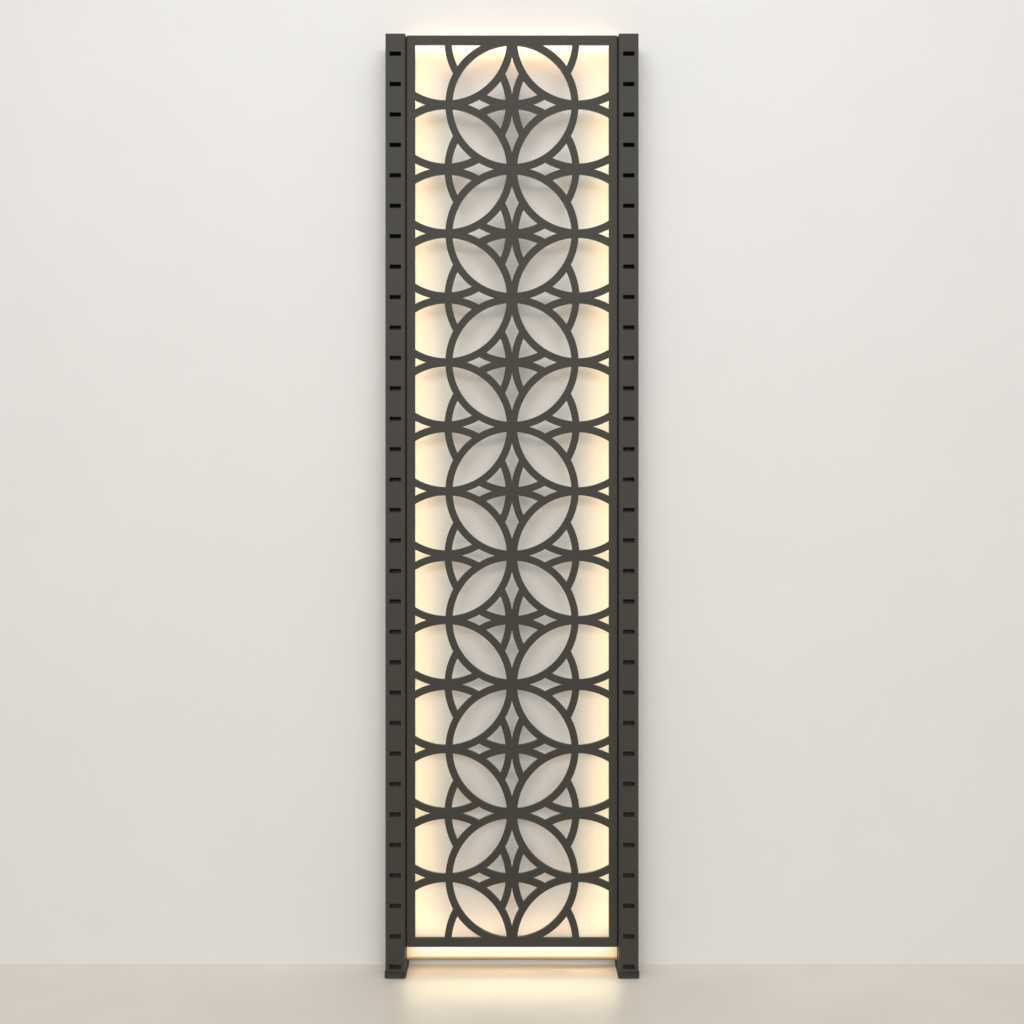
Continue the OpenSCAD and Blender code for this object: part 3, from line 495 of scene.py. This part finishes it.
def lit_strip(name, axis):
    """White circuit strip with glowing lamps along the axis X or Z."""
    material, surface = finish(name, Emission_Color=lamp_glow, Roughness=0.45)
    run = add(material, "SeparateXYZ", Vector=own_coordinates(material)).outputs[axis]
    step = add(material, "Math", {"operation": "MULTIPLY"})
    material.node_tree.links.new(run, step.inputs[0])
    step.inputs[1].default_value = 1 / lamp_pitch
    part = add(material, "Math", {"operation": "FRACT"})
    material.node_tree.links.new(step.outputs[0], part.inputs[0])
    on_lamp = ramp(material, part.outputs[0], (0.0, 1.0), (lamp_share, 1.0), (lamp_share + lamp_rim, 0.0))
    feed(material, surface, "Base Color", mixed(material, on_lamp, strip_white, lamp_yellow))
    feed(material, surface, "Emission Strength",
         ramp(material, part.outputs[0], (0.0, 1.0), (lamp_share, 1.0),
              (lamp_share + lamp_rim, between_lamps)))
    relief(material, surface, noise(material, scale=1200.0), depth=0.00002)
    return material


dress(lit_strip("strip_upright", "Z"), "left_light_strip", "right_light_strip")
dress(lit_strip("strip_level", "X"), "top_light_strip", "tray_light_strip")

# ---------------------------------------------------------------- opal covers
# Clip-in covers of opal acrylic, quarter round on the side channels and flat behind the top rail.
# They glow warm white all along, a little unevenly from lamp to lamp.

channel_glow = 1.5
channel_opal, surface = finish("channel_opal", Base_Color=(0.90, 0.86, 0.76, 1.0), Roughness=0.35,
                               Emission_Color=(1.0, 0.86, 0.50, 1.0))
uneven = noise(channel_opal, scale=30.0, detail=2.0)
feed(channel_opal, surface, "Emission Strength",
     ramp(channel_opal, uneven, (0.3, channel_glow * 0.9), (0.7, channel_glow)))
relief(channel_opal, surface, noise(channel_opal, scale=1500.0), depth=0.00001)
dress(channel_opal, "left_light_cover", "right_light_cover", "top_light_cover")

# ---------------------------------------------------------------- light tray
# A folded and coated sheet tray fills the gap under the panel. Its front and top are one bent
# opal cover: nearly white at the bend, warmer down the face, brown along its lower lip, where no
# light reaches, and tan towards the end plates. The brown of the lip is painted shade in its base
# colour as well as a dimmer glow.

tray_finish = powder_coat("tray_powder_coat", scaled(anthracite, 0.9))
dress(tray_finish, "light_tray", "tray_end_plates")

tray_low, tray_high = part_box("tray_cover")
end_shade = 0.045
tray_opal, surface = finish("tray_opal", Roughness=0.38, Emission_Strength=1.0)
split = add(tray_opal, "SeparateXYZ", Vector=own_coordinates(tray_opal))
rise = add(tray_opal, "MapRange", Value=split.outputs["Z"], From_Min=tray_low.z, From_Max=tray_high.z)
# Base colour darkens to brown towards the lower lip: painted shade.
feed(tray_opal, surface, "Base Color",
     ramp(tray_opal, rise.outputs["Result"], (0.0, (0.15, 0.085, 0.03)), (0.3, (0.36, 0.34, 0.29))))
glow = ramp(tray_opal, rise.outputs["Result"], (0.0, (0.05, 0.03, 0.015)), (0.08, (0.16, 0.09, 0.03)),
            (0.17, (0.42, 0.29, 0.12)), (0.24, (0.66, 0.61, 0.33)), (0.5, (0.70, 0.67, 0.47)),
            (0.9, (0.75, 0.76, 0.78)))
side = add(tray_opal, "Math", {"operation": "ABSOLUTE"})
tray_opal.node_tree.links.new(split.outputs["X"], side.inputs[0])
from_end = add(tray_opal, "MapRange", Value=side.outputs[0], From_Min=tray_high.x - end_shade,
               From_Max=tray_high.x)
ends = ramp(tray_opal, from_end.outputs["Result"], (0.0, 1.0), (0.7, (0.94, 0.80, 0.60)),
            (1.0, (0.80, 0.58, 0.33)))
feed(tray_opal, surface, "Emission Color", mixed(tray_opal, 1.0, glow, ends, "MULTIPLY"))
relief(tray_opal, surface, noise(tray_opal, scale=900.0), depth=0.00001)
dress(tray_opal, "tray_cover")

# ---------------------------------------------------------------- driver, terminals, gland, leads
# Inside the tray sit a moulded power supply and a terminal block. The lead from the wall comes in
# through a black nylon gland, and soft-sheathed leads run on to the strips, through the moulded
# ends of the channels.


def moulded(name, colour, roughness):
    """Moulded plastic with a fine spark-eroded texture and a faint flow of tone."""
    material, surface = finish(name)
    flow = noise(material, scale=25.0, detail=3.0, stretch=(0.3, 1.0, 1.0))
    feed(material, surface, "Base Color",
         ramp(material, flow, (0.3, scaled(colour, 0.93)), (0.7, scaled(colour, 1.04))))
    feed(material, surface, "Roughness",
         ramp(material, flow, (0.3, roughness - 0.05), (0.7, roughness + 0.05)))
    relief(material, surface, noise(material, scale=700.0), depth=0.00004)
    return material


dress(moulded("driver_case", (0.74, 0.74, 0.71), 0.5), "led_driver")
dress(moulded("terminal_plastic", (0.78, 0.76, 0.68), 0.42), "terminal_block")
dress(moulded("gland_nylon", (0.028, 0.028, 0.029), 0.4), "cable_gland", "gland_nut")
dress(moulded("lead_sheath", (0.66, 0.64, 0.58), 0.5), "driver_lead", "output_lead", "lead_jumpers",
      "upper_lead")
dress(moulded("channel_end_plastic", (0.50, 0.50, 0.48), 0.5), "top_channel_ends", "side_channel_ends")

# ---------------------------------------------------------------- rear frame
# Square aluminium tube screwed to the back of the plate behind its border, in the plate's coat.
# Moulded nylon plugs close the open ends of the stiles.

frame_finish = powder_coat("frame_powder_coat", scaled(anthracite, 0.9))
dress(frame_finish, "left_rear_stile", "right_rear_stile", "top_rear_rail", "bottom_rear_rail")
dress(moulded("plug_plastic", (0.045, 0.044, 0.040), 0.55), "stile_plugs")

# ---------------------------------------------------------------- lattice plate
# One aluminium plate, 9 mm thick, cut out in a chequer of overlapping rings inside a plain
# border. Whole rings alternate with trimmed ones, whose arcs stop where the petals begin. Every
# edge is eased before the plate is coated.

plate_low, plate_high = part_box("lattice_plate")
plate_t = plate_high.y - plate_low.y
plate_mid = (plate_low + plate_high) / 2
border_w = 0.021
rail_w = 0.023
bar_w = 0.0182
ring_r = 0.1609
side_ring_r = 0.1631
arc_r = 0.1633
side_arc_r = 0.1598
column_pitch = 0.1671
rows = 14
row_pitch = (plate_high.z - plate_low.z - rail_w) / rows
row_0 = plate_low.z + rail_w / 2
ring_steps = 96
edge_ease = 0.0006
beyond = Vector((0, 1, 0))


def deselect():
    """Leaves edit mode with nothing selected."""
    bpy.ops.object.mode_set(mode="OBJECT")
    bpy.ops.object.select_all(action="DESELECT")


def ring(radius, x, z):
    """A flat ring: its section is drawn once, its corners are eased, and it is spun round Y."""
    start = Vector((x + radius, plate_mid.y, z))
    bpy.ops.mesh.primitive_plane_add(size=1, location=start)
    piece = bpy.context.object
    bpy.ops.object.transform_apply(location=True)
    bpy.ops.object.mode_set(mode="EDIT")
    bpy.ops.transform.resize(value=(bar_w, plate_t, 1), center_override=start)
    bpy.ops.mesh.bevel(offset=edge_ease, segments=1, affect="VERTICES")
    bpy.ops.mesh.delete(type="ONLY_FACE")
    bpy.ops.mesh.select_all(action="SELECT")
    bpy.ops.mesh.spin(steps=ring_steps, angle=2 * math.pi, center=(x, plate_mid.y, z), axis=(0, 1, 0))
    bpy.ops.mesh.select_all(action="SELECT")
    bpy.ops.mesh.remove_doubles(threshold=touching)
    bpy.ops.mesh.normals_make_consistent(inside=False)
    deselect()
    return piece


def twin(piece, dx, dz):
    """A copy with its own mesh, moved along the plate."""
    copy = piece.copy()
    copy.data = piece.data.copy()
    bpy.context.collection.objects.link(copy)
    copy.data.transform(Matrix.Translation((dx, 0, dz)))
    return copy


def disc(radius, x, z):
    """A round blank thicker than the plate."""
    bpy.ops.mesh.primitive_cylinder_add(vertices=ring_steps, radius=radius, depth=3 * plate_t,
                                        location=(x, plate_mid.y, z), rotation=(math.pi / 2, 0, 0))
    piece = bpy.context.object
    bpy.ops.object.transform_apply(location=True, rotation=True)
    deselect()
    return piece


def row_z(j):
    """The height of a row of ring middles, counted from the bottom rail."""
    return row_0 + j * row_pitch


def block(low, high):
    """A box between two corners."""
    bpy.ops.mesh.primitive_cube_add(size=1, location=(low + high) / 2)
    piece = bpy.context.object
    piece.scale = high - low
    bpy.ops.object.transform_apply(location=True, scale=True)
    deselect()
    return piece


def border():
    """The plain border: a sheet outline, inset, opened, thickened and eased along its edges."""
    middle = (plate_mid.x, plate_low.y, plate_mid.z)
    height = plate_high.z - plate_low.z
    bpy.ops.mesh.primitive_plane_add(size=1, location=middle, rotation=(math.pi / 2, 0, 0))
    piece = bpy.context.object
    bpy.ops.object.transform_apply(location=True, rotation=True)
    bpy.ops.object.mode_set(mode="EDIT")
    bpy.ops.transform.resize(value=(plate_high.x - plate_low.x, 1, height), center_override=middle)
    bpy.ops.mesh.inset(thickness=border_w)
    bpy.ops.transform.resize(value=(1, 1, (height - 2 * rail_w) / (height - 2 * border_w)),
                             center_override=middle)
    bpy.ops.mesh.delete(type="FACE")
    bpy.ops.mesh.select_all(action="SELECT")
    bpy.ops.mesh.extrude_region_move(TRANSFORM_OT_translate={"value": (0, plate_t, 0)})
    bpy.ops.mesh.select_all(action="SELECT")
    bpy.ops.mesh.normals_make_consistent(inside=False)
    bpy.ops.mesh.select_all(action="DESELECT")
    bpy.ops.mesh.edges_select_sharp(sharpness=math.radians(60))
    bpy.ops.mesh.bevel(offset=edge_ease, segments=1, affect="EDGES")
    deselect()
    return piece


# The trimmed rings: the middle column's on even rows, the side columns' on odd rows, where those
# next to a rail lose the arc along that rail
middle_ring = ring(arc_r, 0, row_z(0))
side_rings = [ring(side_arc_r, side * column_pitch, row_z(1)) for side in (-1, 1)]
trimmed = twin(middle_ring, 0, 0)
for j in range(2, rows + 1, 2):
    combine(trimmed, twin(middle_ring, 0, j * row_pitch), "UNION")
sides = twin(side_rings[0], 0, 0)
combine(sides, twin(side_rings[1], 0, 0), "UNION")
for j in range(3, rows, 2):
    for side_ring in side_rings:
        combine(sides, twin(side_ring, 0, (j - 1) * row_pitch), "UNION")
inside_rails = block(Vector((plate_low.x, 0, row_z(0.5))) - beyond,
                     Vector((plate_high.x, 0, row_z(rows - 0.5))) + beyond)
combine(sides, inside_rails, "INTERSECT")
combine(trimmed, sides, "UNION")

# The petals, which the trimmed rings stay out of: a middle disc crossed with each neighbour's
for sx in (-1, 1):
    for sz in (-1, 1):
        petal = disc(ring_r, 0, row_z(1))
        combine(petal, disc(side_ring_r, sx * column_pitch, row_z(1 + sz)), "INTERSECT")
        for j in range(1, rows, 2):
            cut_from(trimmed, twin(petal, 0, (j - 1) * row_pitch))
        bpy.data.objects.remove(petal)

# The whole rings, the border, and the outline of the plate
plate = border()
whole_middle = ring(ring_r, 0, row_z(1))
whole_sides = [ring(side_ring_r, side * column_pitch, row_z(0)) for side in (-1, 1)]
lattice = trimmed
for j in range(1, rows, 2):
    combine(lattice, twin(whole_middle, 0, (j - 1) * row_pitch), "UNION")
for j in range(0, rows + 1, 2):
    for side_ring in whole_sides:
        combine(lattice, twin(side_ring, 0, j * row_pitch), "UNION")
inside = Vector((border_w / 2, 0, rail_w / 2))
combine(lattice, block(plate_low + inside - beyond, plate_high - inside + beyond), "INTERSECT")
combine(plate, lattice, "UNION")
for spare in (middle_ring, whole_middle, *side_rings, *whole_sides):
    bpy.data.objects.remove(spare)
plate.name = "lattice_plate_cut"
plate.data.materials.clear()
plate.data.materials.append(powder_coat("lattice_powder_coat", anthracite))
for face in plate.data.polygons:
    face.material_index = 0
smooth(plate, 25.0)
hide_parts("lattice_plate")
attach(plate, "panel")

# ---------------------------------------------------------------- floor and backdrop
# A plain pale floor and a plain pale wall, which show from their fronts only, so that the unit
# can also be looked at from behind.

wall_y = cad_box[1].y
wall_half_w = 1.75
wall_h = 2.75
floor_half = 6.0


def one_sided(name, clouds, detail, darker, paler, roughness):
    """Pale paint on the front of a sheet, and nothing on its back."""
    material, surface = finish(name, Roughness=roughness)
    feed(material, surface, "Base Color",
         ramp(material, noise(material, clouds, detail), (0.3, darker), (0.7, paler)))
    behind = add(material, "NewGeometry").outputs["Backfacing"]
    nothing = add(material, "BsdfTransparent").outputs["BSDF"]
    choice = add(material, "MixShader", Fac=behind)
    material.node_tree.links.new(surface.outputs["BSDF"], choice.inputs[1])
    material.node_tree.links.new(nothing, choice.inputs[2])
    output = material.node_tree.nodes["Material Output"]
    material.node_tree.links.new(choice.outputs["Shader"], output.inputs["Surface"])
    return material


def sheet(name, corners, material):
    """A flat sheet between four corners, given anticlockwise as seen from its front."""
    mesh = bpy.data.meshes.new(name)
    mesh.from_pydata(corners, [], [(0, 1, 2, 3)])
    mesh.materials.append(material)
    piece = bpy.data.objects.new(name, mesh)
    bpy.context.collection.objects.link(piece)
    return piece


wall_paint = one_sided("wall_paint", clouds=3.0, detail=4.0, darker=(0.815, 0.808, 0.800),
                       paler=(0.830, 0.823, 0.816), roughness=0.9)
floor_paint = one_sided("floor_paint", clouds=4.0, detail=6.0, darker=(0.91, 0.84, 0.76),
                        paler=(0.96, 0.895, 0.81), roughness=0.42)
sheet("backdrop", [(-wall_half_w, wall_y, 0), (wall_half_w, wall_y, 0), (wall_half_w, wall_y, wall_h),
                   (-wall_half_w, wall_y, wall_h)], wall_paint)
sheet("floor", [(-floor_half, -floor_half, 0), (floor_half, -floor_half, 0), (floor_half, floor_half, 0),
                (-floor_half, floor_half, 0)], floor_paint)

# ---------------------------------------------------------------- studio light
# Pale light from all round, a soft key from the front that throws the lattice's shadow a little
# down the wall, two warm spots beside it, and soft lights from above and behind. Warm lights
# stand in for the lit covers and for what the panel's back throws onto the wall.

world = bpy.data.worlds.new("studio")
bpy.context.scene.world = world
world.use_nodes = True
sky = world.node_tree.nodes["Background"]
sky.inputs["Color"].default_value = (0.985, 0.955, 1.0, 1.0)
sky.inputs["Strength"].default_value = 0.315


def light(name, watts, colour, place, way, width, height, spread=180.0):
    """An area light that shines that way and doesn't show itself."""
    data = bpy.data.lights.new(name, "AREA")
    data.energy = watts
    data.color = colour
    data.shape = "RECTANGLE"
    data.size = width
    data.size_y = height
    data.spread = math.radians(spread)
    # Mixed sampling is off: with a light that reaches the unit alone, it would brighten the coat
    data.cycles.use_multiple_importance_sampling = False
    lamp = bpy.data.objects.new(name, data)
    lamp.location = place
    lamp.rotation_euler = Vector(way).to_track_quat("-Z", "Y").to_euler()
    lamp.visible_camera = False
    bpy.context.collection.objects.link(lamp)
    return lamp


# The studio's own lights
light("key", watts=242.0, colour=(0.87, 1.0, 0.95), place=(0, -8.0, 3.2), way=(0, 8.0, -2.0),
      width=8.0, height=1.5)
light("overhead", watts=26.4, colour=(0.94, 1.0, 1.0), place=(0, -2.2, 3.4), way=(0, 2.3, -2.0),
      width=3.2, height=1.6)

# What the lit covers of the side channels throw on the wall, and the warm spots beside the key
side_low, side_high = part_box("right_light_cover")
side_len = side_high.z - side_low.z
side_mid_z = (side_low.z + side_high.z) / 2
off_cover = 0.001
for side in (-1, 1):
    light("warm_spot_%d" % side, watts=37.0, colour=(1.0, 0.55, 0.44), place=(side * 1.53, -7.85, 2.8),
          way=(-side * 1.53, 7.85, -1.6), width=1.5, height=1.0)
    light("side_glow_%d" % side, watts=0.405, colour=(1.0, 0.63, 0.19),
          place=(side * (side_low.x - off_cover), side_low.y + 0.005, side_mid_z),
          way=(-side * 0.94, 0.34, 0), width=0.010, height=side_len)

# What the cover behind the top rail throws on the wall above the panel
top_low, top_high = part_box("top_light_cover")
light("top_glow", watts=0.215, colour=(1.0, 0.565, 0.27),
      place=(0, top_high.y + off_cover, (top_low.z + top_high.z) / 2), way=(0, 1, 0),
      width=top_high.x - top_low.x, height=top_high.z - top_low.z)

# What the light tray throws up the wall, out over the floor, down close by and under itself
tray_w = tray_high.x - tray_low.x
tray_mid_y = (tray_low.y + tray_high.y) / 2
before_tray = (0, tray_low.y - 0.003, tray_low.z + 0.019)
light("tray_wall_glow", watts=0.24, colour=(1.0, 0.66, 0.33),
      place=(0, tray_high.y - 0.012, tray_high.z + off_cover), way=(0, 0.5, 1.0), width=tray_w, height=0.02)
light("tray_floor_glow", watts=0.17, colour=(1.0, 0.90, 0.62), place=before_tray, way=(0, -1.0, -0.4),
      width=tray_w, height=0.03)
light("tray_near_glow", watts=0.085, colour=(1.0, 0.86, 0.54), place=before_tray, way=(0, -1.0, -0.6),
      width=tray_w, height=0.03, spread=90.0)
light("tray_under_glow", watts=0.055, colour=(1.0, 0.70, 0.34),
      place=(0, tray_mid_y, tray_low.z - off_cover), way=(0, -0.05, -1.0), width=tray_w, height=0.045,
      spread=70.0)

# What the panel's lit back throws on the wall between the bars
back_margin = 0.03
light("back_glow", watts=0.17, colour=(1.0, 0.88, 0.70), place=(0, plate_high.y + 0.005, plate_mid.z),
      way=(0, 1, 0), width=plate_high.x - plate_low.x - 2 * back_margin,
      height=plate_high.z - plate_low.z - 2 * back_margin)

# The light behind the wall reaches the unit alone, and passes through the wall
unit = bpy.data.collections.new("unit")
for piece in bpy.context.scene.objects:
    if piece.type == "MESH" and piece.name not in ("backdrop", "floor"):
        unit.objects.link(piece)
rear_fill = light("rear_fill", watts=75.0, colour=(1.0, 0.97, 0.93), place=(0, 3.2, 1.7),
                  way=(0, -3.2, -0.5), width=5.5, height=2.4)
rear_fill.light_linking.receiver_collection = unit
rear_fill.light_linking.blocker_collection = unit

# ---------------------------------------------------------------- camera
# At the photograph's height and distance, level, looking straight at the wall.

camera_distance = 3.2
camera_height = 1.185
lens = bpy.data.cameras.new("camera")
lens.lens = 43.61
lens.sensor_width = 36.0
camera = bpy.data.objects.new("camera", lens)
camera.location = (0.0, -camera_distance, camera_height)
camera.rotation_euler = (math.pi / 2, 0, 0)
bpy.context.collection.objects.link(camera)
bpy.context.scene.camera = camera
bpy.context.scene.view_settings.view_transform = "Standard"
